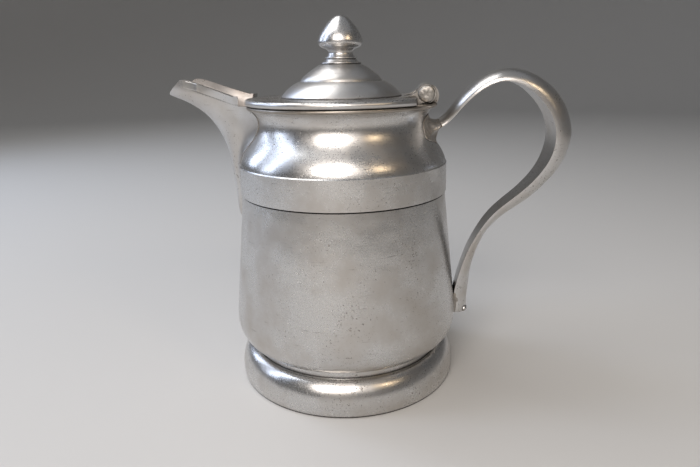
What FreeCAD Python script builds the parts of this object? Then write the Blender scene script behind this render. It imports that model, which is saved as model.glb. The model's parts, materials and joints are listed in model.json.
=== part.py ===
import FreeCAD, Part
import math
import os

# Silver-plated serving pitcher with a hinged lid.
# Millimetres, +Z up. The origin is on the body's axis, on the plane that the foot stands on.
# The spout points to -X, the handle to +X, and the part is symmetric about the XZ plane.

# Sheet, fits and gaps
wall = 1.3
lid_wall = 1.2
spout_wall = 1.2
solder_gap = 0.05
pin_clearance = 0.05
thread_clearance = 0.05
knuckle_gap = 0.2
lid_swing_gap = 0.35
spout_lid_gap = 2.2
bezel_gap = 0.75
cut_overrun = 6.0

# Foot
foot_height = 12.5
foot_radius = 41.9
foot_edge_height = 3.2
foot_base_radius = 41.2
foot_land = 2.6
collar_radius = 36.35
collar_height = 2.8

# Lower body
belly_radius = 42.35
belly_height = 11.7
cup_height = 56.4
cup_top_radius = 37.45
seam_groove = 0.6
sleeve_height = 8.0

# Neck shell
band_radius = 37.9
band_top_radius = 37.75
band_height = 10.5
band_step = 0.35
neck_radius = 30.5
neck_height = 14.4
mouth_radius = 33.0
mouth_height = 4.6

# Rim wire
rim_radius = 33.9
rim_inner_radius = 30.2
rim_thickness = 1.3

# Lid
lid_radius = 34.4
lid_edge = 2.3
lid_bead_width = 2.4
dome_radius = 21.3
dome_riser = 0.5
dome_height = 4.9
step_radius = 15.2
step_width = 0.7
crown_height = 5.5
crown_radius = 7.8
bezel_depth = 2.2
bezel_wall = 1.2

# Knob
finial_height = 16.4
finial_radius = 7.8
finial_base_radius = 7.6
stud_radius = 2.0
stud_depth = 9.0
washer_radius = 5.0
washer_thickness = 0.8
nut_width = 7.0
nut_height = 2.8
stud_end = 1.0

# Hinge
hinge_offset = 29.9
hinge_rise = 3.35
hinge_length = 24.0
knuckle_radius = 3.05
middle_length = 10.0
pin_radius = 1.3
leaf_length = 8.4
block_reach = 4.4

# Spout
spout_reach = 63.1
spout_tip_height = 90.9
spout_tail_height = 42.7
spout_edge_rise = 6.1
spout_edge_reach = 55.8
spout_half_width = 16.6
spout_root_rise = 3.4
strip_height = 2.7
strip_thickness = 1.3
strip_start = 34.4
strip_end = 50.0

# Handle
handle_loop_reach = 73.7
handle_loop_height = 94.1
handle_end_height = 8.0
handle_width = 16.0
handle_thickness = 6.7

# Shares: curve fullness and outlines as parts of the sizes above
round_share = math.sqrt(0.5)
belly_share = 0.75
# Neck outline above the band: part of the way in to the neck, part of the height
neck_shares = ((0.155, 0.21), (0.555, 0.5), (0.91, 0.79))
flare_share = 0.36
# Lower dome and crown outlines: part of the width, part of the height
dome_shares = ((1.0, 0.0), (0.80, 0.31), (0.48, 0.66), (0.0, 1.0))
crown_shares = ((1.0, 0.0), (0.92, 0.19), (0.645, 0.49), (0.335, 0.755), (0.0, 1.0))
# Knob outline: radius as a part of the knob's, height as a part of the finial's
stem_shares = ((0.84, 0.04), (0.71, 0.105), (0.615, 0.175), (0.55, 0.25))
knob_shares = (
    (0.61, 0.307),
    (0.8, 0.346),
    (0.945, 0.392),
    (1, 0.455),
    (0.98, 0.525),
    (0.895, 0.625),
    (0.755, 0.73),
    (0.58, 0.835),
    (0.39, 0.925),
    (0.2, 0.983),
)
stem_bead_shares = ((0.88, 0.015), (0.68, 0.12))
stem_bead_share = 0.04
# Spout waterlines: part of the height from tail to tip, of the reach from the wall to the tip,
# of the half width, and the root as a part of the band's radius
waterline_shares = (
    (0.0, 0.012, 0.09, 0.97),
    (0.05, 0.091, 0.17, 0.97),
    (0.104, 0.119, 0.24, 0.965),
    (0.207, 0.129, 0.34, 0.955),
    (0.342, 0.139, 0.46, 0.945),
    (0.467, 0.159, 0.61, 0.92),
    (0.56, 0.183, 0.76, 0.85),
    (0.664, 0.246, 0.92, 0.7),
    (0.759, 0.341, 1, 0.58),
    (0.851, 0.484, 1, 0.56),
    (0.917, 0.651, 1, 0.56),
    (0.959, 0.802, 1, 0.56),
    (1, 1, 1, 0.56),
    (1.058, 1.135, 1, 0.56),
    (1.162, 1.254, 1, 0.56),
)
# One waterline from the root to the nose: part of its length, part of its half width
plan_shares = (
    (0.0, 1.14),
    (0.12, 1),
    (0.22, 0.83),
    (0.32, 0.695),
    (0.43, 0.59),
    (0.54, 0.525),
    (0.66, 0.497),
    (0.78, 0.445),
    (0.89, 0.342),
    (0.962, 0.197),
)
channel_share = 0.47
# Spout's upper edge from the rim to the highest point: part of the length, part of the rise
sheer_shares = ((0.0, 0.0), (0.4, 0.4), (0.82, 0.84))
sheer_round_share = 0.12
# Inside line of the handle with its thickness and width.
# Upper arm: part of the way from the neck to the reach and from the neck up to the loop's top
upper_arm_shares = (
    (-0.058, -0.54, 0.42, 0.62),
    (0.058, -0.305, 0.4, 0.66),
    (0.175, -0.04, 0.4, 0.72),
    (0.26, 0.29, 0.41, 0.82),
    (0.378, 0.685, 0.49, 0.93),
    (0.562, 1, 0.57, 1),
)
# Rest: part of the way from the belly to the reach and from the lower end up to the loop's top
lower_arm_shares = (
    (0.611, 0.986, 0.73, 1),
    (0.818, 0.928, 0.93, 1),
    (0.946, 0.863, 0.97, 1),
    (1, 0.786, 1, 0.98),
    (0.978, 0.714, 0.9, 0.93),
    (0.869, 0.632, 0.76, 0.77),
    (0.652, 0.544, 0.66, 0.65),
    (0.404, 0.461, 0.52, 0.58),
    (0.254, 0.383, 0.43, 0.54),
    (0.147, 0.304, 0.48, 0.52),
    (0.07, 0.223, 0.57, 0.5),
    (0.006, 0.13, 0.75, 0.48),
    (-0.02, 0.0, 0.82, 0.48),
)
sections_per_span = 2

# Levels
floor_z = foot_height + collar_height
seam_z = floor_z + cup_height
band_top_z = seam_z + band_height
neck_z = band_top_z + neck_height
mouth_z = neck_z + mouth_height
rim_z = mouth_z + rim_thickness
flange_z = rim_z + lid_edge
dome_z = flange_z + dome_riser + dome_height
crown_z = dome_z + crown_height
hinge_z = rim_z + hinge_rise
top_z = crown_z + finial_height
sleeve_radius = band_radius - wall - solder_gap
chord_x = hinge_offset - knuckle_radius - lid_swing_gap

UP = FreeCAD.Vector(0, 0, 1)
ORIGIN = FreeCAD.Vector(0, 0, 0)


def at(x, z, y=0):
    return FreeCAD.Vector(x, y, z)


def line(start, end):
    return Part.LineSegment(at(*start), at(*end)).toShape()


def lines(*points):
    return [line(a, b) for a, b in zip(points, points[1:])]


def bend(start, corner, end, fullness=round_share):
    # A conic that leaves start and reaches end along the two sides of the corner.
    curve = Part.BezierCurve()
    curve.setPoles([at(*start), at(*corner), at(*end)])
    curve.setWeight(2, fullness)
    return curve.toShape()


def smooth(points):
    curve = Part.BSplineCurve()
    curve.interpolate([at(*p) for p in points])
    return curve.toShape()


def turn(edges):
    face = Part.Face(Part.Wire(Part.__sortEdges__(edges)))
    return face.revolve(ORIGIN, UP, 360)


def disc(radius, low, high):
    return Part.makeCylinder(radius, high - low, at(0, low), UP)


def across(edges, low, high):
    # A flat outline in the XZ plane, carried from y = low to y = high.
    face = Part.Face(Part.Wire(Part.__sortEdges__(edges)))
    face.translate(at(0, 0, low))
    return face.extrude(at(0, 0, high - low))


def barrel(radius, low, high):
    start = at(hinge_offset, hinge_z, low)
    return Part.makeCylinder(radius, high - low, start, at(0, 0, 1))


def between(start, end, share):
    return start + (end - start) * share


def foot_ring():
    outer = [
        bend((foot_base_radius, 0), (foot_radius, 0), (foot_radius, foot_edge_height)),
        bend((foot_radius, foot_edge_height), (foot_radius, foot_height), (collar_radius, foot_height)),
    ]
    bore = collar_radius - wall
    skin = foot_radius - wall
    inner = [
        bend((foot_base_radius - foot_land, 0), (skin, 0), (skin, foot_edge_height), belly_share),
        bend((skin, foot_edge_height), (skin, foot_height - wall), (bore, foot_height - wall)),
    ]
    sides = lines(
        (collar_radius, foot_height),
        (collar_radius, floor_z),
        (bore, floor_z),
        (bore, foot_height - wall),
    )
    base = lines((foot_base_radius - foot_land, 0), (foot_base_radius, 0))
    return turn(outer + inner + sides + base)


def cup_edges(foot, low, belly, top, high):
    # Wall of the cup from the floor's edge (foot, low) through the belly to its upper end (top, high).
    belly_z = floor_z + belly_height
    taper = (belly - top) / (high - belly_z)
    corner = (belly + taper * (belly_z - low), low)
    return [bend((foot, low), corner, (belly, belly_z), belly_share), line((belly, belly_z), (top, high))]


def cup_filled():
    edges = cup_edges(collar_radius, floor_z, belly_radius, cup_top_radius, seam_z)
    edges += lines((cup_top_radius, seam_z), (0, seam_z), (0, floor_z), (collar_radius, floor_z))
    return turn(edges)


def lower_body():
    inside = sleeve_radius - wall
    floor_top = floor_z + wall
    sleeve_z = seam_z + sleeve_height
    groove_z = seam_z - seam_groove
    edges = cup_edges(collar_radius, floor_z, belly_radius, cup_top_radius, groove_z)
    edges += lines(
        (cup_top_radius, groove_z),
        (cup_top_radius - seam_groove, seam_z),
        (sleeve_radius, seam_z),
        (sleeve_radius, sleeve_z),
        (inside, sleeve_z),
        (inside, seam_z),
    )
    edges += cup_edges(collar_radius, floor_top, belly_radius - wall, inside, seam_z)
    edges += lines((collar_radius, floor_top), (0, floor_top), (0, floor_z), (collar_radius, floor_z))
    return turn(edges)


def neck_edges(inset):
    # Shoulder, neck and flared mouth, set in from the outside by inset.
    start = band_top_radius - band_step
    points = [(start - inset, band_top_z)]
    for inward, rise in neck_shares:
        points.append((between(start, neck_radius, inward) - inset, between(band_top_z, neck_z, rise)))
    points.append((neck_radius - inset, neck_z))
    flare = between(neck_radius, mouth_radius, flare_share)
    points.append((flare - inset, between(neck_z, mouth_z, round_share)))
    points.append((mouth_radius - inset, mouth_z))
    return smooth(points)


def band_edges():
    step_z = band_top_z - band_step
    start = band_top_radius - band_step
    return lines((band_radius, seam_z), (band_top_radius, step_z), (start, band_top_z))


def neck_filled():
    edges = band_edges() + [neck_edges(0)]
    edges += lines((mouth_radius, mouth_z), (0, mouth_z), (0, seam_z), (band_radius, seam_z))
    return turn(edges)


def neck_shell(channel):
    bore = band_radius - wall
    sleeve_z = seam_z + sleeve_height + solder_gap
    edges = band_edges() + [neck_edges(0), neck_edges(wall)]
    edges += lines((mouth_radius, mouth_z), (mouth_radius - wall, mouth_z))
    edges += lines(
        (band_top_radius - band_step - wall, band_top_z),
        (bore, sleeve_z),
        (bore, seam_z),
        (band_radius, seam_z),
    )
    return turn(edges).cut(channel)


def rim_wire(spout_body):
    middle = mouth_z + rim_thickness / 2
    flat = rim_radius - rim_thickness / 2
    edges = [
        bend((flat, mouth_z), (rim_radius, mouth_z), (rim_radius, middle)),
        bend((rim_radius, middle), (rim_radius, rim_z), (flat, rim_z)),
    ]
    edges += lines((flat, rim_z), (rim_inner_radius, rim_z), (rim_inner_radius, mouth_z), (flat, mouth_z))
    return turn(edges).cut(spout_body)


def lid_edges(inset):
    # Dome and crown of the lid, from the flange to the flat seat of the knob.
    riser_z = flange_z + dome_riser - inset
    dome = []
    for width, rise in dome_shares:
        dome.append((between(step_radius, dome_radius, width) - inset, riser_z + dome_height * rise))
    step = step_radius - step_width
    crown = []
    for width, rise in crown_shares:
        crown.append((between(crown_radius, step, width) - inset, dome_z - inset + crown_height * rise))
    foot = (dome_radius - inset, flange_z - inset)
    return lines(foot, dome[0]) + [smooth(dome)] + lines(dome[-1], crown[0]) + [smooth(crown)]


def behind_chord(solid):
    # Trims what would lie under the hinge barrel.
    size = lid_radius * 2
    box = Part.makeBox(size, size, size, at(chord_x, rim_z - lid_radius, -lid_radius))
    return solid.cut(box)


def lid_shell():
    round_radius = lid_edge / 2
    flat = lid_radius - round_radius
    bead = lid_radius - lid_bead_width
    hole = stud_radius + thread_clearance
    under = flange_z - lid_wall
    edges = [
        bend((flat, rim_z), (lid_radius, rim_z), (lid_radius, rim_z + round_radius)),
        bend((lid_radius, rim_z + round_radius), (lid_radius, flange_z), (flat, flange_z)),
    ]
    edges += lines((flat, flange_z), (dome_radius, flange_z))
    edges += lid_edges(0)
    edges += lines((crown_radius, crown_z), (hole, crown_z), (hole, crown_z - lid_wall))
    edges += lines((hole, crown_z - lid_wall), (crown_radius - lid_wall, crown_z - lid_wall))
    edges += lid_edges(lid_wall)
    edges += lines((dome_radius - lid_wall, under), (bead, under), (bead, rim_z), (flat, rim_z))
    return behind_chord(turn(edges))


def lid_bezel():
    outer = rim_inner_radius - bezel_gap
    low = rim_z - bezel_depth
    high = flange_z - lid_wall
    ring = disc(outer, low, high).cut(disc(outer - bezel_wall, low - cut_overrun, high + cut_overrun))
    return behind_chord(ring)


def finial():
    hole = stud_radius + thread_clearance
    stem = [(finial_base_radius, crown_z)]
    stem += [(finial_radius * r, crown_z + finial_height * h) for r, h in stem_shares]
    stem += [(finial_radius * r, crown_z + finial_height * h) for r, h in knob_shares]
    stem.append((0, top_z))
    seat = lines((0, top_z), (0, crown_z + stud_depth), (hole, crown_z + stud_depth), (hole, crown_z))
    solid = turn([smooth(stem)] + seat + lines((hole, crown_z), (finial_base_radius, crown_z)))
    bead = finial_radius * stem_bead_share
    for r, h in stem_bead_shares:
        height = crown_z + bead + finial_height * h
        solid = solid.fuse(Part.makeTorus(finial_radius * r, bead, at(0, height), UP))
    return solid.removeSplitter()


def finial_stud():
    low = crown_z - lid_wall - washer_thickness - nut_height - stud_end
    return disc(stud_radius, low, crown_z + stud_depth - thread_clearance)


def finial_washer():
    high = crown_z - lid_wall
    low = high - washer_thickness
    hole = disc(stud_radius + thread_clearance, low - cut_overrun, high + cut_overrun)
    return disc(washer_radius, low, high).cut(hole)


def finial_nut():
    high = crown_z - lid_wall - washer_thickness
    low = high - nut_height
    corner = nut_width / math.sqrt(3)
    sides = 6
    points = []
    for i in range(sides + 1):
        angle = 2 * math.pi * i / sides
        points.append(at(corner * math.cos(angle), low, corner * math.sin(angle)))
    prism = Part.Face(Part.makePolygon(points)).extrude(at(0, nut_height))
    return prism.cut(disc(stud_radius + thread_clearance, low - cut_overrun, high + cut_overrun))


def lid_knuckle(low, high):
    # Outer knuckle with a leaf that lies on the flange, closes its trimmed end and sweeps up to the barrel.
    toe = (hinge_offset - leaf_length, flange_z)
    half = knuckle_radius / 2
    rise = knuckle_radius * math.sqrt(3) / 2
    meet = (hinge_offset - rise, hinge_z + half)
    corner = (meet[0] - (meet[1] - flange_z) / math.sqrt(3), flange_z)
    centre = (hinge_offset, hinge_z)
    heel = (hinge_offset - half, rim_z)
    under = lines(meet, centre, heel, (chord_x, rim_z), (chord_x, flange_z), toe)
    leaf = across([bend(toe, corner, meet)] + under, low, high)
    solid = barrel(knuckle_radius, low, high).fuse(leaf).removeSplitter()
    return solid.cut(barrel(pin_radius + pin_clearance, low - cut_overrun, high + cut_overrun))


def body_knuckle():
    # Middle knuckle with a rounded block that stands on the rim behind the pin.
    low = -middle_length / 2
    high = middle_length / 2
    outside = hinge_offset + block_reach
    heel = (rim_radius - rim_thickness / 2, rim_z)
    middle = (outside, between(rim_z, hinge_z, round_share))
    top = (hinge_offset + knuckle_radius / 2, hinge_z + knuckle_radius * math.sqrt(3) / 2)
    toe = (hinge_offset - knuckle_radius / 2, rim_z)
    edges = [bend(heel, (outside, rim_z), middle), bend(middle, (outside, top[1]), top)]
    edges += lines(top, (hinge_offset, hinge_z), toe, heel)
    solid = barrel(knuckle_radius, low, high).fuse(across(edges, low, high)).removeSplitter()
    return solid.cut(barrel(pin_radius + pin_clearance, low - cut_overrun, high + cut_overrun))


def hinge_pin():
    return barrel(pin_radius, -hinge_length / 2, hinge_length / 2)


def waterline(height, reach, half_width, start, inset):
    # One level section of the beak: a trumpet-shaped plan with a rounded nose, closed inside the body.
    tip = between(band_radius, spout_reach, reach) - inset
    half = spout_half_width * half_width - inset
    root = band_radius * start - inset
    z = floor_z + between(spout_tail_height, spout_tip_height, height)
    side = [(between(root, tip, along), half * wide) for along, wide in plan_shares]
    points = [at(-x, z, y) for x, y in side]
    points.append(at(-tip, z))
    points += [at(-x, z, -y) for x, y in reversed(side)]
    curve = Part.BSplineCurve()
    curve.interpolate(points)
    return Part.Wire([curve.toShape(), Part.makeLine(points[-1], points[0])])


def spout_loft(inset, lowest=0):
    wires = [waterline(h, r, w, s, inset) for h, r, w, s in waterline_shares if h >= lowest]
    return Part.makeLoft(wires, True, False)


def sheer_points():
    low = rim_z + spout_root_rise
    high = floor_z + spout_tip_height + spout_edge_rise
    start = lid_radius + spout_lid_gap
    return [(-between(start, spout_edge_reach, a), between(low, high, r)) for a, r in sheer_shares]


def above_sheer(drop):
    # Everything over the beak's upper edges and in front of its slanted mouth, lowered by drop.
    high = floor_z + spout_tip_height + spout_edge_rise
    peak = (-spout_edge_reach, high - drop)
    points = [(x, z - drop) for x, z in sheer_points()]
    slope = (spout_reach - spout_edge_reach) / spout_edge_rise
    fall = spout_edge_rise * sheer_round_share
    shoulder = (peak[0] - slope * fall, peak[1] - fall)
    front = (-spout_reach - slope * cut_overrun, high - drop - spout_edge_rise - cut_overrun)
    roof = top_z + cut_overrun
    edges = [smooth(points), bend(points[-1], peak, shoulder), line(shoulder, front)]
    edges += lines(front, (front[0] - cut_overrun, roof), (0, roof), (0, points[0][1]), points[0])
    return across(edges, -lid_radius, lid_radius)


def beside_spout():
    # Room for the body, the open mouth and the lid's edge.
    room = lid_radius + spout_lid_gap
    mouth = disc(rim_inner_radius, mouth_z - cut_overrun, top_z)
    lid_room = disc(room, rim_z - solder_gap, top_z)
    return cup_filled().fuse([neck_filled(), mouth, lid_room])


def spout_shell(body, channel, room):
    return body.cut(above_sheer(0)).cut(channel).cut(room)


def spout_strip(body, room, side):
    # Applied strip along one upper edge of the beak.
    low = min(0, side * lid_radius)
    span = Part.makeBox(strip_end - strip_start, lid_radius, top_z, at(-strip_end, 0, low))
    band = above_sheer(strip_height).cut(above_sheer(0))
    return span.common(band).cut(room).cut(body).common(spout_loft(-strip_thickness))


def handle_section(inside, tangent, thickness, width):
    # D-shaped section: flat on the inside of the loop, crowned on the outside.
    out = FreeCAD.Vector(-tangent.z, 0, tangent.x)
    half = at(0, 0, width / 2)
    crown = inside + out * thickness
    flat = Part.makeLine(inside - half, inside + half)
    sides = []
    for start, corner, end in ((inside + half, crown + half, crown), (crown, crown - half, inside - half)):
        curve = Part.BezierCurve()
        curve.setPoles([start, corner, end])
        curve.setWeight(2, round_share)
        sides.append(curve.toShape())
    return Part.Wire([flat] + sides)


def handle(body):
    low = floor_z + handle_end_height
    high = floor_z + handle_loop_height
    reach = handle_loop_reach
    points = []
    for outward, upward, thick, wide in upper_arm_shares:
        points.append(at(between(neck_radius, reach, outward), between(neck_z, high, upward)))
    for outward, upward, thick, wide in lower_arm_shares:
        points.append(at(between(belly_radius, reach, outward), between(low, high, upward)))
    table = upper_arm_shares + lower_arm_shares
    # The lower end runs straight down.
    curve = Part.BSplineCurve()
    curve.interpolate(Points=points, InitialTangent=points[1] - points[0], FinalTangent=ORIGIN - UP)
    places = [curve.parameter(p) for p in points]
    wires = []
    for i in range(sections_per_span * (len(points) - 1) + 1):
        k = min(i // sections_per_span, len(points) - 2)
        share = i / sections_per_span - k
        place = between(places[k], places[k + 1], share)
        thickness = handle_thickness * between(table[k][2], table[k + 1][2], share)
        width = handle_width * between(table[k][3], table[k + 1][3], share)
        wires.append(handle_section(curve.value(place), curve.tangent(place)[0], thickness, width))
    return Part.makeLoft(wires, True, False).cut(body)


def build():
    spout_body = spout_loft(0)
    channel = spout_loft(spout_wall, channel_share)
    room = beside_spout()
    filled = cup_filled().fuse(neck_filled())
    middle = middle_length / 2 + knuckle_gap
    end = hinge_length / 2
    return {
        "foot_ring": foot_ring(),
        "lower_body": lower_body(),
        "neck_shell": neck_shell(channel),
        "rim_wire": rim_wire(spout_body),
        "spout_shell": spout_shell(spout_body, channel, room),
        "spout_strip_front": spout_strip(spout_body, room, -1),
        "spout_strip_back": spout_strip(spout_body, room, 1),
        "handle": handle(filled),
        "hinge_body_knuckle": body_knuckle(),
        "hinge_lid_knuckle_front": lid_knuckle(-end, -middle),
        "hinge_lid_knuckle_back": lid_knuckle(middle, end),
        "hinge_pin": hinge_pin(),
        "lid_shell": lid_shell(),
        "lid_bezel": lid_bezel(),
        "finial": finial(),
        "finial_stud": finial_stud(),
        "finial_washer": finial_washer(),
        "finial_nut": finial_nut(),
    }


os.makedirs("parts", exist_ok=True)
for node, shape in build().items():
    box = shape.BoundBox
    size = "size %.1f %.1f %.1f" % (box.XLength, box.YLength, box.ZLength)
    print(node, "solids", len(shape.Solids), "valid", shape.isValid(), "volume %.1f" % shape.Volume, size)
    shape.exportStep("parts/" + node + ".step")
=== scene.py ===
import json
import math

import bmesh
import bpy
from mathutils import Matrix, Vector, noise
from mathutils.bvhtree import BVHTree


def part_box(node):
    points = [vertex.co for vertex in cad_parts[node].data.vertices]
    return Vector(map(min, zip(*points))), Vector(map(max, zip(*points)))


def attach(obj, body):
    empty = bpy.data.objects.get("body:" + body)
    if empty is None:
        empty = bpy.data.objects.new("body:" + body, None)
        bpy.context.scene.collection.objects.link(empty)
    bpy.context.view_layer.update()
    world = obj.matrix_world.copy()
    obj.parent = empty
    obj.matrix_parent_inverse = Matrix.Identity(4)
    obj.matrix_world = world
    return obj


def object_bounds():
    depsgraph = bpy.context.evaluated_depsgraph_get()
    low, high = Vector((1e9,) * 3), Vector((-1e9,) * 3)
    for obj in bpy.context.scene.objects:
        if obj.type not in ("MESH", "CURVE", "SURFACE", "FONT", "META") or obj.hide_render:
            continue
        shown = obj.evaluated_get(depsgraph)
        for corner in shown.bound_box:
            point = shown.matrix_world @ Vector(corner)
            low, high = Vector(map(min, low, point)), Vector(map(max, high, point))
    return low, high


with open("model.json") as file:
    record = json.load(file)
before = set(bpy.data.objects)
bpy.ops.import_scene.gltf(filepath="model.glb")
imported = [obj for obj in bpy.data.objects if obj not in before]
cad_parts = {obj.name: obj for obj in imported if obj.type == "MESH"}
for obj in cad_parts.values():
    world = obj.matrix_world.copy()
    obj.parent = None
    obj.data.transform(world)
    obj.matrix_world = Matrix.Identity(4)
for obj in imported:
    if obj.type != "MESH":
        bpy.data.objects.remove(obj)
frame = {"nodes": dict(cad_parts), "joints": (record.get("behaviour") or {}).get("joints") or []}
cad_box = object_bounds()

MM = 0.001

# Camera, fitted to the photograph's 700 x 467 frame
IMAGE_WIDTH = 700
FOCAL_PIXELS = 544
SENSOR_MM = 36
CAMERA_PLACE_MM = (24.48, -199.39, 114.87)
CAMERA_HEADING = math.radians(6.428)
CAMERA_PITCH = math.radians(17.005)
CAMERA_ROLL = math.radians(1.192)
CAMERA_NEAREST = 0.01


def linear(hex_colour):
    """An sRGB hex colour as linear red, green, blue and alpha."""
    channels = [int(hex_colour[i:i + 2], 16) / 255 for i in (1, 3, 5)]
    return tuple(c / 12.92 if c <= 0.04045 else ((c + 0.055) / 1.055) ** 2.4 for c in channels) + (1.0,)


def add(tree, kind, links=None, **settings):
    """Adds one node. settings are its own properties, and links are its input values or the sockets that
    feed them."""
    node = tree.nodes.new(kind)
    for name, value in settings.items():
        setattr(node, name, value)
    for key, value in (links or {}).items():
        socket = node.inputs[key]
        if isinstance(value, bpy.types.NodeSocket):
            tree.links.new(value, socket)
        else:
            socket.default_value = value
    return node


def new_finish(name):
    """An empty node material of that name."""
    finish = bpy.data.materials.new(name)
    finish.use_nodes = True
    finish.node_tree.nodes.clear()
    return finish


# Finishes


def silver_plate(name, stroke_mm, roughness, inside_of=None, worn_edges=0.35, eaten_from_mm=1000.0,
                 fresh="#d3d2d1", thin="#c3beb8"):
    """Silver plate on nickel silver, buffed and then worn by decades of washing and handling.
    It gives wide satin highlights with a grainy edge, warm thin patches in the plate, fine dark pits and
    scratches, bright worn edges, and painted shade with grime, near black, in every crease and gap.
    stroke_mm is how long the buffing strokes are along x, y and z. inside_of says which faces are the
    stained inside: of a round shell or a channel.
    Level faces beyond eaten_from_mm from the pot's axis, where water stood, are eaten by pits. fresh and thin
    are the colours of whole and worn plate."""
    finish = new_finish(name)
    tree = finish.node_tree
    coords = add(tree, "ShaderNodeTexCoord")
    place = coords.outputs["Object"]

    # Sizes on the real pot. The grain and strokes are really finer, and are drawn as coarse as they need to
    # show.
    patch_mm = 17.0
    cluster_mm = 13.0
    wave_mm = 14.0
    dent_mm = 5.0
    pit_mm = 0.65
    grain_mm = 0.5
    scratch_length_mm = 7.0
    scratch_width_mm = 0.5
    scratch_turn = (math.radians(20), math.radians(38), 0.0)
    shade_and_grime_reach_mm = 1.1
    edge_reach_mm = 0.45
    eaten_fade_mm = 0.5
    stain_fade_mm = 2.0
    channel_top_mm = 112.0

    # Heights of the relief
    wave_height_mm = 0.2
    dent_height_mm = 0.09
    grain_height_mm = 0.006
    stroke_height_mm = 0.008
    mark_depth_mm = 0.035

    # How much one cause adds to the next, and to the roughness
    cluster_share = 0.34
    eaten_share = 0.17
    scratch_share = 0.45
    broken_shade_and_grime_share = 0.30
    grain_roughness = 0.16
    thin_roughness = 0.07
    stain_roughness = 0.12
    grime_roughness = 0.35

    # Thin, warm patches of the plate
    patches = add(tree, "ShaderNodeTexNoise",
                  {"Vector": place, "Scale": 1 / (patch_mm * MM), "Detail": 5.0, "Roughness": 0.62})
    tarnish = add(tree, "ShaderNodeMapRange",
                  {"Value": patches.outputs["Fac"], "From Min": 0.42, "From Max": 0.72})

    # Buffing strokes, grain and the slow waves of hand work
    stretched = add(tree, "ShaderNodeVectorMath",
                    {0: place, 1: tuple(1 / (mm * MM) for mm in stroke_mm)}, operation="MULTIPLY")
    strokes = add(tree, "ShaderNodeTexNoise",
                  {"Vector": stretched.outputs["Vector"], "Scale": 1.0, "Detail": 3.0})
    grain = add(tree, "ShaderNodeTexNoise",
                {"Vector": place, "Scale": 1 / (grain_mm * MM), "Detail": 2.0, "Roughness": 0.6})
    waves = add(tree, "ShaderNodeTexNoise", {"Vector": place, "Scale": 1 / (wave_mm * MM), "Detail": 1.5})
    dents = add(tree, "ShaderNodeTexNoise", {"Vector": place, "Scale": 1 / (dent_mm * MM), "Detail": 0.5})

    # Pits come in clusters, and scratches run across them
    specks = add(tree, "ShaderNodeTexNoise",
                 {"Vector": place, "Scale": 1 / (pit_mm * MM), "Detail": 3.0, "Roughness": 0.7})
    clusters = add(tree, "ShaderNodeTexNoise",
                   {"Vector": place, "Scale": 1 / (cluster_mm * MM), "Detail": 2.0})
    clustered = add(tree, "ShaderNodeMath",
                    {0: clusters.outputs["Fac"], 1: cluster_share, 2: specks.outputs["Fac"]},
                    operation="MULTIPLY_ADD")
    flat = add(tree, "ShaderNodeVectorMath", {0: place, 1: (1, 1, 0)}, operation="MULTIPLY")
    radius = add(tree, "ShaderNodeVectorMath", {0: flat.outputs["Vector"]}, operation="LENGTH")
    outer = add(tree, "ShaderNodeMapRange",
                {"Value": radius.outputs["Value"], "From Min": (eaten_from_mm - eaten_fade_mm) * MM,
                 "From Max": (eaten_from_mm + eaten_fade_mm) * MM, "To Max": eaten_share})
    facing_up = add(tree, "ShaderNodeSeparateXYZ", {"Vector": coords.outputs["Normal"]})
    level = add(tree, "ShaderNodeMapRange",
                {"Value": facing_up.outputs["Z"], "From Min": 0.5, "From Max": 0.95})
    eaten = add(tree, "ShaderNodeMath",
                {0: outer.outputs["Result"], 1: level.outputs["Result"], 2: clustered.outputs["Value"]},
                operation="MULTIPLY_ADD")
    pits = add(tree, "ShaderNodeMapRange",
               {"Value": eaten.outputs["Value"], "From Min": 0.82, "From Max": 0.89})
    across = 1 / (scratch_length_mm * MM)
    tilted = add(tree, "ShaderNodeMapping",
                 {"Vector": place, "Rotation": scratch_turn,
                  "Scale": (across, across, 1 / (scratch_width_mm * MM))})
    streaks = add(tree, "ShaderNodeTexNoise",
                  {"Vector": tilted.outputs["Vector"], "Scale": 1.0, "Detail": 2.0})
    scratches = add(tree, "ShaderNodeMapRange",
                    {"Value": streaks.outputs["Fac"], "From Min": 0.70, "From Max": 0.78})
    marks = add(tree, "ShaderNodeMath",
                {0: scratches.outputs["Result"], 1: scratch_share, 2: pits.outputs["Result"]},
                operation="MULTIPLY_ADD", use_clamp=True)

    # Painted shade with grime: creases and gaps that an occlusion mask finds turn near black.
    # Edges that hands and cloths keep bright
    crease = add(tree, "ShaderNodeAmbientOcclusion", {"Distance": shade_and_grime_reach_mm * MM}, samples=12)
    broken = add(tree, "ShaderNodeMath",
                 {0: grain.outputs["Fac"], 1: broken_shade_and_grime_share, 2: crease.outputs["AO"]},
                 operation="MULTIPLY_ADD")
    crease_shade_and_grime = add(tree, "ShaderNodeMapRange",
                {"Value": broken.outputs["Value"], "From Min": 1.06, "From Max": 0.66})
    ridge = add(tree, "ShaderNodeAmbientOcclusion", {"Distance": edge_reach_mm * MM}, samples=8, inside=True)
    edges = add(tree, "ShaderNodeMapRange",
                {"Value": ridge.outputs["AO"], "From Min": 0.75, "From Max": 0.35, "To Max": worn_edges})

    plate = add(tree, "ShaderNodeMix",
                {"Factor": tarnish.outputs["Result"], "A": linear(fresh), "B": linear(thin)},
                data_type="RGBA")
    marked = add(tree, "ShaderNodeMix",
                 {"Factor": marks.outputs["Value"], "A": plate.outputs["Result"], "B": linear("#665f59")},
                 data_type="RGBA")
    colour = add(tree, "ShaderNodeMix",
                 {"Factor": edges.outputs["Result"], "A": marked.outputs["Result"], "B": linear("#e9e6e0")},
                 data_type="RGBA")
    dull = add(tree, "ShaderNodeMath",
               {0: grain.outputs["Fac"], 1: grain_roughness, 2: roughness - grain_roughness / 2},
               operation="MULTIPLY_ADD")
    dull = add(tree, "ShaderNodeMath",
               {0: tarnish.outputs["Result"], 1: thin_roughness, 2: dull.outputs["Value"]},
               operation="MULTIPLY_ADD")

    if inside_of:
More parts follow.
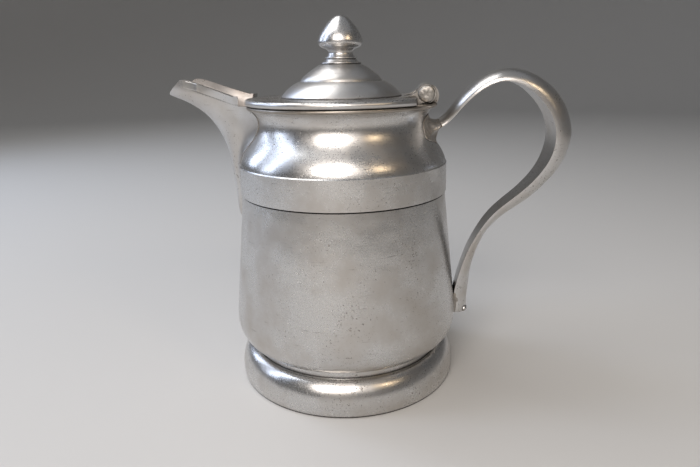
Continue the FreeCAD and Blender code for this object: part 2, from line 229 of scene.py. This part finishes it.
        # The direction away from the round shell's axis, or from a line along the top of the channel
        keep, shift = {"shell": ((1, 1, 0), (0, 0, 0)),
                       "channel": ((0, 1, 1), (0, 0, -channel_top_mm * MM))}[inside_of]
        moved = add(tree, "ShaderNodeVectorMath", {0: place, 1: shift}, operation="ADD")
        outward = add(tree, "ShaderNodeVectorMath",
                      {0: moved.outputs["Vector"], 1: keep}, operation="MULTIPLY")
        facing = add(tree, "ShaderNodeVectorMath",
                     {0: outward.outputs["Vector"], 1: coords.outputs["Normal"]}, operation="DOT_PRODUCT")
        inside = add(tree, "ShaderNodeMapRange",
                     {"Value": facing.outputs["Value"], "From Min": 0.0, "From Max": -stain_fade_mm * MM})
        stain = add(tree, "ShaderNodeMath",
                    {0: inside.outputs["Result"], 1: patches.outputs["Fac"]}, operation="MULTIPLY")
        colour = add(tree, "ShaderNodeMix",
                     {"Factor": stain.outputs["Value"], "A": colour.outputs["Result"],
                      "B": linear("#5a4636")}, data_type="RGBA")
        dull = add(tree, "ShaderNodeMath",
                   {0: inside.outputs["Result"], 1: stain_roughness, 2: dull.outputs["Value"]},
                   operation="MULTIPLY_ADD")

    # Painted shade with grime: the crease mask darkens the plate to near black
    shaded_and_grimy = add(tree, "ShaderNodeMix",
                {"Factor": crease_shade_and_grime.outputs["Result"], "A": colour.outputs["Result"], "B": linear("#1c1917")},
                data_type="RGBA")
    rough = add(tree, "ShaderNodeMath",
                {0: crease_shade_and_grime.outputs["Result"], 1: grime_roughness, 2: dull.outputs["Value"]},
                operation="MULTIPLY_ADD")

    height = add(tree, "ShaderNodeMath", {0: waves.outputs["Fac"], 1: wave_height_mm}, operation="MULTIPLY")
    for source, source_mm in ((dents.outputs["Fac"], dent_height_mm), (grain.outputs["Fac"], grain_height_mm),
                              (strokes.outputs["Fac"], stroke_height_mm),
                              (marks.outputs["Value"], -mark_depth_mm)):
        height = add(tree, "ShaderNodeMath",
                     {0: source, 1: source_mm, 2: height.outputs["Value"]}, operation="MULTIPLY_ADD")
    relief = add(tree, "ShaderNodeBump",
                 {"Height": height.outputs["Value"], "Strength": 1.0, "Distance": MM})

    shader = add(tree, "ShaderNodeBsdfPrincipled",
                 {"Base Color": shaded_and_grimy.outputs["Result"], "Metallic": 1.0,
                  "Roughness": rough.outputs["Value"], "Normal": relief.outputs["Normal"]})
    add(tree, "ShaderNodeOutputMaterial", {"Surface": shader.outputs["BSDF"]})
    return finish


def turned_nickel_silver(name):
    """Bare nickel silver as it comes from the lathe: yellower than the plate, with a fine uneven tool grain
    and painted shade with grime where it meets its neighbours."""
    finish = new_finish(name)
    tree = finish.node_tree
    place = add(tree, "ShaderNodeTexCoord").outputs["Object"]
    grain_mm = 0.35
    grain_height_mm = 0.012
    patch_mm = 3.0
    shade_and_grime_reach_mm = 0.8
    grain = add(tree, "ShaderNodeTexNoise",
                {"Vector": place, "Scale": 1 / (grain_mm * MM), "Detail": 2.0})
    patches = add(tree, "ShaderNodeTexNoise", {"Vector": place, "Scale": 1 / (patch_mm * MM), "Detail": 3.0})
    crease = add(tree, "ShaderNodeAmbientOcclusion", {"Distance": shade_and_grime_reach_mm * MM}, samples=8)
    colour = add(tree, "ShaderNodeMix",
                 {"Factor": patches.outputs["Fac"], "A": linear("#bdb8ae"), "B": linear("#8d867c")},
                 data_type="RGBA")
    # Painted shade with grime: the occlusion mask darkens the metal where parts meet
    shaded_and_grimy = add(tree, "ShaderNodeMix",
                {"Factor": crease.outputs["AO"], "A": linear("#241f1b"), "B": colour.outputs["Result"]},
                data_type="RGBA")
    rough = add(tree, "ShaderNodeMapRange", {"Value": grain.outputs["Fac"], "To Min": 0.28, "To Max": 0.52})
    relief = add(tree, "ShaderNodeBump",
                 {"Height": grain.outputs["Fac"], "Strength": 1.0, "Distance": grain_height_mm * MM})
    shader = add(tree, "ShaderNodeBsdfPrincipled",
                 {"Base Color": shaded_and_grimy.outputs["Result"], "Metallic": 1.0,
                  "Roughness": rough.outputs["Result"], "Normal": relief.outputs["Normal"]})
    add(tree, "ShaderNodeOutputMaterial", {"Surface": shader.outputs["BSDF"]})
    return finish


def soft_solder(name):
    """Lead-tin solder, wiped while it was soft: dull grey and lumpy, darkened in its creases by painted shade
    and by flux and polish that have settled there.
    """
    finish = new_finish(name)
    tree = finish.node_tree
    place = add(tree, "ShaderNodeTexCoord").outputs["Object"]
    lump_mm = 1.2
    lump_height_mm = 0.3
    shade_and_grime_reach_mm = 1.0
    lumps = add(tree, "ShaderNodeTexNoise", {"Vector": place, "Scale": 1 / (lump_mm * MM), "Detail": 4.0})
    crease = add(tree, "ShaderNodeAmbientOcclusion", {"Distance": shade_and_grime_reach_mm * MM}, samples=8)
    colour = add(tree, "ShaderNodeMix",
                 {"Factor": lumps.outputs["Fac"], "A": linear("#d0ccc6"), "B": linear("#8a827a")},
                 data_type="RGBA")
    # Painted shade with flux and polish: the occlusion mask darkens the solder in its creases
    shaded_and_grimy = add(tree, "ShaderNodeMix",
                {"Factor": crease.outputs["AO"], "A": linear("#463c33"), "B": colour.outputs["Result"]},
                data_type="RGBA")
    rough = add(tree, "ShaderNodeMapRange", {"Value": lumps.outputs["Fac"], "To Min": 0.34, "To Max": 0.6})
    relief = add(tree, "ShaderNodeBump",
                 {"Height": lumps.outputs["Fac"], "Strength": 1.0, "Distance": lump_height_mm * MM})
    shader = add(tree, "ShaderNodeBsdfPrincipled",
                 {"Base Color": shaded_and_grimy.outputs["Result"], "Metallic": 1.0,
                  "Roughness": rough.outputs["Result"], "Normal": relief.outputs["Normal"]})
    add(tree, "ShaderNodeOutputMaterial", {"Surface": shader.outputs["BSDF"]})
    return finish


def studio_paper(name, colour):
    """Seamless background paper, rolled and matt: an even pale tone with a faint mottle in its sheen."""
    finish = new_finish(name)
    tree = finish.node_tree
    place = add(tree, "ShaderNodeTexCoord").outputs["Object"]
    mottle_mm = 60.0
    mottle = add(tree, "ShaderNodeTexNoise", {"Vector": place, "Scale": 1 / (mottle_mm * MM), "Detail": 2.0})
    rough = add(tree, "ShaderNodeMapRange", {"Value": mottle.outputs["Fac"], "To Min": 0.85, "To Max": 0.95})
    shader = add(tree, "ShaderNodeBsdfPrincipled",
                 {"Base Color": linear(colour), "Roughness": rough.outputs["Result"]})
    add(tree, "ShaderNodeOutputMaterial", {"Surface": shader.outputs["BSDF"]})
    return finish


def dress(finish, *names):
    """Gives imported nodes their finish."""
    for name in names:
        data = frame["nodes"][name].data
        data.materials.clear()
        data.materials.append(finish)


# Length of the buffing strokes along x, y and z in millimetres: round the pot, or along the spout and handle
AROUND = (30.0, 30.0, 0.5)
ALONG = (9.0, 0.5, 9.0)

spun_plate = silver_plate("spun_silver_plate", AROUND, roughness=0.27, inside_of="shell")
lid_plate = silver_plate("spun_silver_plate_lid", AROUND, roughness=0.32, eaten_from_mm=22.0)
# Painted shade: the rim wire's plate is darker than the rest, for the shade under the lid's edge
shaded_wire_plate = silver_plate("drawn_silver_plate_wire_shaded", AROUND, roughness=0.36, fresh="#b4ada4", thin="#8c8378")
knob_plate = silver_plate("turned_silver_plate_knob", AROUND, roughness=0.28)
spout_plate = silver_plate("raised_silver_plate_spout", ALONG, roughness=0.30, inside_of="channel")
cast_plate = silver_plate("cast_silver_plate", ALONG, roughness=0.30)
# Tarnish and painted shade: the hinge's plate is darker, which also dims the lamps' reflection on its ends
tarnished_and_shaded_hinge_plate = silver_plate("cast_silver_plate_hinge_tarnished_and_shaded", ALONG, roughness=0.44, worn_edges=0.2,
                           fresh="#b4b1ac", thin="#8e8882")
bare_metal = turned_nickel_silver("turned_nickel_silver")
solder = soft_solder("soft_solder")

dress(spun_plate, "lower_body", "neck_shell", "foot_ring")
dress(lid_plate, "lid_shell", "lid_bezel")
dress(shaded_wire_plate, "rim_wire")
dress(knob_plate, "finial")
dress(spout_plate, "spout_shell")
dress(cast_plate, "handle", "spout_strip_front", "spout_strip_back")
dress(tarnished_and_shaded_hinge_plate, "hinge_body_knuckle", "hinge_lid_knuckle_front", "hinge_lid_knuckle_back")
dress(bare_metal, "hinge_pin", "finial_stud", "finial_washer", "finial_nut")


# Solder and rivet work


def add_object(name, data, finish):
    """Puts a mesh into the scene with one finish."""
    data.materials.clear()
    data.materials.append(finish)
    piece = bpy.data.objects.new(name, data)
    bpy.context.scene.collection.objects.link(piece)
    return piece


def mesh_object(name, points, faces, finish):
    """A smooth-shaded object from points in metres."""
    data = bpy.data.meshes.new(name)
    data.from_pydata(points, [], faces)
    for polygon in data.polygons:
        polygon.use_smooth = True
    return add_object(name, data, finish)


def fix_to_pot(piece):
    """The piece stays with the pot."""
    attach(piece, "body")


def closed_piece(name, points, faces, finish):
    """A closed piece that is fixed to the pot. Points that fall together become one, and all faces turn
    outward."""
    same_point_mm = 0.0001
    piece = mesh_object(name, points, faces, finish)
    shape = bmesh.new()
    shape.from_mesh(piece.data)
    bmesh.ops.remove_doubles(shape, verts=shape.verts, dist=same_point_mm * MM)
    bmesh.ops.recalc_face_normals(shape, faces=shape.faces)
    shape.to_mesh(piece.data)
    shape.free()
    fix_to_pot(piece)


def tube_faces(rings, spokes, closed=False):
    """Four-sided faces between rings of points, back to the first ring when closed."""
    faces = []
    for k in range(rings if closed else rings - 1):
        after = (k + 1) % rings
        for i in range(spokes):
            j = (i + 1) % spokes
            faces.append((k * spokes + i, k * spokes + j, after * spokes + j, after * spokes + i))
    return faces


def end_faces(rings, spokes):
    """One face on each end of a row of rings."""
    return [tuple(reversed(range(spokes))), tuple(range((rings - 1) * spokes, rings * spokes))]


def surface_of(name):
    """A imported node's skin, for finding points on it."""
    return BVHTree.FromObject(frame["nodes"][name], bpy.context.evaluated_depsgraph_get())


def skin_point(skin, start, towards):
    """The first point of a skin on the way from start, both in millimetres."""
    hit = skin.ray_cast(Vector(start) * MM, Vector(towards))[0]
    return None if hit is None else hit / MM


def lumpy(point, size_mm, reach_mm):
    """A small shift in millimetres, smooth over size_mm."""
    return noise.noise_vector(point / size_mm) * reach_mm


neck_skin = surface_of("neck_shell")
cup_skin = surface_of("lower_body")
spout_skin = surface_of("spout_shell")
handle_skin = surface_of("handle")

# A distance from the pot's axis that is outside everything, and the length over which a solder's edge wanders
OUTSIDE_MM = 90.0
EDGE_LUMP_MM = 1.5

# The lumps are the same in every run
LUMP_SEED = 7
noise.seed_set(LUMP_SEED)


def spout_seam_points():
    """Where the spout meets the pot, up one side, from its tail to the rim, as points in millimetres."""
    first_z = 58.6
    last_z = 100.6
    levels = 30
    halvings = 14
    proud_mm = 0.03
    points = []
    for i in range(levels + 1):
        z = first_z + (last_z - first_z) * i / levels
        on_spout, on_pot = math.pi, math.pi * 1.5
        for _ in range(halvings):
            angle = (on_spout + on_pot) / 2
            out = Vector((math.cos(angle), math.sin(angle), 0))
            start = out * OUTSIDE_MM + Vector((0, 0, z))
            spout = skin_point(spout_skin, start, -out)
            pot = [p for p in (skin_point(neck_skin, start, -out), skin_point(cup_skin, start, -out)) if p]
            wall = max(Vector((p.x, p.y, 0)).length for p in pot)
            covered = spout is not None and Vector((spout.x, spout.y, 0)).length > wall + proud_mm
            on_spout, on_pot = (angle, on_pot) if covered else (on_spout, angle)
        points.append(out * wall + Vector((0, 0, z)))
    return points


def solder_line(name, points, radius_mm):
    """A thin run of solder in a seam, which wanders a little and swells and thins."""
    wander_mm = 0.06
    wander_size_mm = 3.0
    swell_share = 0.35
    swell_size_mm = 2.2
    path = bpy.data.curves.new(name, "CURVE")
    path.dimensions = "3D"
    path.bevel_depth = radius_mm * MM
    path.bevel_resolution = 2
    path.use_fill_caps = True
    run = path.splines.new("POLY")
    run.points.add(len(points) - 1)
    for knot, point in zip(run.points, points):
        knot.co = (*((point + lumpy(point, wander_size_mm, wander_mm)) * MM), 1.0)
        knot.radius = 1.0 + swell_share * noise.noise(point / swell_size_mm)
    run.use_smooth = True
    holder = bpy.data.objects.new(name, path)
    bpy.context.scene.collection.objects.link(holder)
    data = bpy.data.meshes.new_from_object(holder.evaluated_get(bpy.context.evaluated_depsgraph_get()))
    bpy.data.objects.remove(holder)
    data.name = name
    fix_to_pot(add_object(name, data, solder))


def solder_fillet(name, stations, finish, lump_mm, closed=False):
    """Hollow-faced solder along a joint, or all round it when closed.
    A station is a point on the wall, the corner and a point on the strap."""
    steps = 14
    hollow_share = 0.4
    buried_share = 0.6
    wide_lump_mm = 2.2
    small_lump_mm = 0.8
    small_lump_share = 0.45
    spokes = steps + 2
    points = []
    for wall, corner, strap in stations:
        middle = (wall + strap) / 2
        hollow = corner.lerp(middle, hollow_share)
        for i in range(steps + 1):
            share = i / steps
            point = wall.lerp(hollow, share).lerp(hollow.lerp(strap, share), share)
            free = lump_mm * math.sin(math.pi * share)
            lumps = lumpy(point, wide_lump_mm, free) + lumpy(point, small_lump_mm, free * small_lump_share)
            points.append((point + lumps) * MM)
        points.append((corner + (corner - middle) * buried_share) * MM)
    faces = tube_faces(len(stations), spokes, closed)
    if not closed:
        faces += end_faces(len(stations), spokes)
    closed_piece(name, points, faces, finish)


def handle_root_stations():
    """All round the handle's upper end, where it runs into the neck. The solder has run out most towards
    -y."""
    root = Vector((32.3, 0, 93.8))
    along = Vector((0.857, 0, 0.515))
    across = Vector((0, 1, 0))
    over = along.cross(across)
    strap_reach_mm = 3.4
    clear_of_strap_mm = 12
    off_skin_mm = 0.05
    leg_mm = 2.0
    leg_front_mm = 4.6
    leg_back_mm = 2.2
    leg_above_mm = 2.4
    leg_uneven_mm = 0.7
    proud = Vector((0.1, 0, 0))
    count = 96
    stations = []
    for i in range(count):
        angle = 2 * math.pi * i / count
        away = across * math.cos(angle) + over * math.sin(angle)
        strap = skin_point(handle_skin, root + along * strap_reach_mm + away * clear_of_strap_mm, -away)
        corner = skin_point(neck_skin, strap + away * off_skin_mm, -along)
        sideways_mm = leg_front_mm if away.y < 0 else leg_back_mm
        leg = leg_mm + sideways_mm * abs(away.y) + leg_above_mm * max(away.z, 0.0)
        leg += leg_uneven_mm * noise.noise(corner / EDGE_LUMP_MM)
        spread = corner + away * leg
        wall = skin_point(neck_skin, (OUTSIDE_MM, spread.y, spread.z), (-1, 0, 0))
        stations.append((wall + proud, corner, strap))
    return stations


def handle_foot_stations(side):
    """One side of the handle's lower end, where it lies on the pot."""
    low_z = 23.9
    high_z = 31.2
    near_edge_mm = 3.5
    strap_reach_mm = 1.5
    leg_mm = 0.5
    leg_middle_mm = 1.2
    leg_uneven_mm = 0.5
    count = 16
    stations = []
    for i in range(count + 1):
        z = low_z + (high_z - low_z) * i / count
        wall_x = skin_point(cup_skin, (OUTSIDE_MM, side * near_edge_mm, z), (-1, 0, 0)).x
        strap = skin_point(handle_skin, (wall_x + strap_reach_mm, side * OUTSIDE_MM, z), (0, -side, 0))
        corner = skin_point(cup_skin, (OUTSIDE_MM, strap.y, z), (-1, 0, 0))
        leg = leg_mm + leg_middle_mm * math.sin(math.pi * i / count)
        leg += leg_uneven_mm * noise.noise(corner / EDGE_LUMP_MM)
        wall = skin_point(cup_skin, (OUTSIDE_MM, strap.y + side * leg, z), (-1, 0, 0))
        stations.append((wall, corner, strap))
    return stations


def strap_end_bead(name):
    """Rounded lip across the handle's lower end."""
    centre = Vector((46.15, 0, 24.45))
    half_length = 3.3
    radius = 1.25
    least_share = 0.004
    lump_size_mm = 1.5
    lump_mm = 0.12
    rings = 13
    spokes = 14
    points = []
    for k in range(rings):
        share = 2 * k / (rings - 1) - 1
        size = radius * math.sqrt(max(least_share, 1 - share ** 4))
        for i in range(spokes):
            angle = 2 * math.pi * i / spokes
            point = centre + Vector((size * math.cos(angle), half_length * share, size * math.sin(angle)))
            points.append((point + lumpy(point, lump_size_mm, lump_mm)) * MM)
    faces = end_faces(rings, spokes) + tube_faces(rings, spokes)
    closed_piece(name, points, faces, cast_plate)


def strip_end_stations(strip, side):
    """End of the strip along the beak's edge, filed down to a long ramp towards the tip."""
    strip_skin = surface_of(strip)
    into_strip = 0.05
    end_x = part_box(strip)[0][0] / MM
    in_strip_x = end_x + into_strip
    ramp_length = 5.5
    ramp_rise_share = 0.27
    ramp_drop = 0.3
    corner_drop = 0.1
    count = 8

    # Heights, tried at every tenth of a millimetre, at which the strip's end is met
    lowest_tenth = 1000
    highest_tenth = 1160
    met = [tenth / 10 for tenth in range(lowest_tenth, highest_tenth)
           if skin_point(strip_skin, (in_strip_x, side * OUTSIDE_MM, tenth / 10), (0, -side, 0))]
    stations = []
    for i in range(count + 1):
        z = met[0] + (met[-1] - met[0]) * i / count
        strap = skin_point(strip_skin, (in_strip_x, side * OUTSIDE_MM, z), (0, -side, 0))
        corner = skin_point(spout_skin, (end_x, side * OUTSIDE_MM, z - corner_drop), (0, -side, 0))
        far_z = z - ramp_drop + ramp_rise_share * ramp_length
        wall = skin_point(spout_skin, (end_x - ramp_length, side * OUTSIDE_MM, far_z), (0, -side, 0))
        stations.append((wall, corner, strap))
    return stations


def hammered_head(name, side):
    """End of the hinge pin, hammered over into a low uneven rivet head."""
    hinge = Vector(frame["joints"][0]["pos_m"]) / MM
    off_pin = 0.02
    seat_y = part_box("hinge_pin")[1][1] / MM + off_pin
    radius = 2.75
    height = 0.62
    least_height = 0.06
    dent_mm = 0.16
    dent_size_mm = 0.9
    dent_row = 5.0 * side
    lobe_share = 0.05
    ripple_share = 0.03
    dome_share = 0.96
    base_share = 0.97
    rings = 7
    spokes = 28
    points = []
    for k in range(rings + 1):
        share = k / rings
        for i in range(spokes):
            angle = 2 * math.pi * i / spokes
            uneven = 1 + lobe_share * math.sin(3 * angle + side) + ripple_share * math.sin(7 * angle)
            edge = radius * share * uneven
            x = hinge.x + edge * math.cos(angle)
            z = hinge.z + edge * math.sin(angle)
            dent = noise.noise(Vector((x, dent_row, z)) / dent_size_mm) * dent_mm
            rise = height * math.sqrt(1 - dome_share * share ** 3) + (0.0 if k == rings else dent)
            points.append(Vector((x, side * (seat_y + max(rise, least_height)), z)) * MM)
    for i in range(spokes):
        angle = 2 * math.pi * i / spokes
        edge = radius * base_share
        spot = (hinge.x + edge * math.cos(angle), side * seat_y, hinge.z + edge * math.sin(angle))
        points.append(Vector(spot) * MM)
    faces = end_faces(rings + 2, spokes) + tube_faces(rings + 2, spokes)
    closed_piece(name, points, faces, tarnished_and_shaded_hinge_plate)


SEAM_RADIUS_MM = 0.3
SEAM_TAIL_MM = Vector((-0.1, 0, -0.5))
ROOT_LUMP_MM = 0.6
FOOT_LUMP_MM = 0.25
RAMP_LUMP_MM = 0.03
SIDES = (("front", -1), ("back", 1))

seam = spout_seam_points()
mirrored = [Vector((p.x, -p.y, p.z)) for p in seam]
tail = Vector((seam[0].x, 0, seam[0].z)) + SEAM_TAIL_MM
solder_line("spout_seam_solder", list(reversed(seam)) + [tail] + mirrored, SEAM_RADIUS_MM)
solder_fillet("handle_root_solder", handle_root_stations(), solder, ROOT_LUMP_MM, closed=True)
for where, side in SIDES:
    solder_fillet(f"handle_foot_solder_{where}", handle_foot_stations(side), solder, FOOT_LUMP_MM)
for where, side in SIDES:
    ramp = strip_end_stations(f"spout_strip_{where}", side)
    solder_fillet(f"spout_strip_ramp_{where}", ramp, cast_plate, RAMP_LUMP_MM)
strap_end_bead("handle_end_bead")
for where, side in SIDES:
    hammered_head(f"hinge_pin_head_{where}", side)


# Studio


def studio_sweep():
    """Round floor that rises in a wide curve into a backdrop on every side."""
    inner_radius = 0.4
    bend_start = 1.3
    bend_radius = 0.8
    height = 2.6
    steps = 16
    spokes = 64
    profile = [(inner_radius, 0.0)]
    for i in range(steps + 1):
        angle = math.pi / 2 * i / steps
        profile.append((bend_start + bend_radius * math.sin(angle), bend_radius * (1 - math.cos(angle))))
    profile.append((bend_start + bend_radius, height))
    points = []
    for radius, z in profile:
        for k in range(spokes):
            angle = 2 * math.pi * k / spokes
            points.append((radius * math.cos(angle), radius * math.sin(angle), z))
    faces = [tuple(range(spokes))]
    faces += [tuple(reversed(face)) for face in tube_faces(len(profile), spokes)]
    mesh_object("studio_sweep", points, faces, studio_paper("studio_paper", "#c2c1bf"))


def soft_box(name, place, target, width, height, power, colour="#ffffff", spread=180):
    """A rectangular lamp that looks at target. Lengths are in metres, power in watts and spread in
    degrees."""
    lamp = bpy.data.lights.new(name, "AREA")
    lamp.spread = math.radians(spread)
    lamp.shape = "RECTANGLE"
    lamp.size = width
    lamp.size_y = height
    lamp.energy = power
    lamp.color = linear(colour)[:3]
    holder = bpy.data.objects.new(name, lamp)
    holder.location = place
    holder.rotation_euler = (Vector(target) - Vector(place)).to_track_quat("-Z", "Y").to_euler()
    bpy.context.scene.collection.objects.link(holder)


def studio_world():
    """Even grey light from all round."""
    world = bpy.data.worlds.new("studio_air")
    world.use_nodes = True
    tree = world.node_tree
    tree.nodes.clear()
    air = add(tree, "ShaderNodeBackground", {"Color": linear("#b4b6ba"), "Strength": 0.5})
    add(tree, "ShaderNodeOutputWorld", {"Surface": air.outputs["Background"]})
    bpy.context.scene.world = world


def photo_camera():
    """The camera that was fitted to the photograph."""
    data = bpy.data.cameras.new("photo_camera")
    data.sensor_width = SENSOR_MM
    data.lens = FOCAL_PIXELS / IMAGE_WIDTH * SENSOR_MM
    data.clip_start = CAMERA_NEAREST
    camera = bpy.data.objects.new("photo_camera", data)
    turn = Matrix.Rotation(CAMERA_HEADING, 4, "Z")
    tilt = Matrix.Rotation(math.pi / 2 - CAMERA_PITCH, 4, "X")
    roll = Matrix.Rotation(-CAMERA_ROLL, 4, "Z")
    place = Matrix.Translation(Vector(CAMERA_PLACE_MM) * MM)
    camera.matrix_world = place @ turn @ tilt @ roll
    bpy.context.scene.collection.objects.link(camera)
    bpy.context.scene.camera = camera


studio_sweep()
studio_world()
photo_camera()
middle = (cad_box[0] + cad_box[1]) / 2

# Two cool panes give the long highlights on the left
soft_box("window_left_front", place=(-0.66, -0.10, 0.46), target=middle,
         width=0.18, height=0.56, power=1.3, colour="#d8e6ff")
soft_box("window_left_back", place=(-0.62, 0.26, 0.46), target=middle,
         width=0.18, height=0.56, power=1.3, colour="#d8e6ff")

# The paper in front of the pot, which the straight walls mirror, and the wide glow on the shoulder
soft_box("panel_front", place=(-0.08, -0.66, 0.52), target=(-0.07, -0.36, 0.0),
         width=0.44, height=0.44, power=4.2, colour="#fff7f0")
soft_box("panel_high", place=(0.00, -0.85, 0.62), target=middle,
         width=1.10, height=0.56, power=1.8, colour="#fff7f0")

# Small warm spots on the right, and the shadow on the floor
soft_box("lamp_right", place=(0.55, -0.45, 0.55), target=middle,
         width=0.16, height=0.16, power=0.50, colour="#ffe2ba")
soft_box("lamp_above", place=(-0.40, 0.10, 1.00), target=(-0.05, 0.05, 0.0),
         width=0.80, height=0.60, power=3.0, spread=150)

bpy.context.scene.view_settings.view_transform = "Standard"
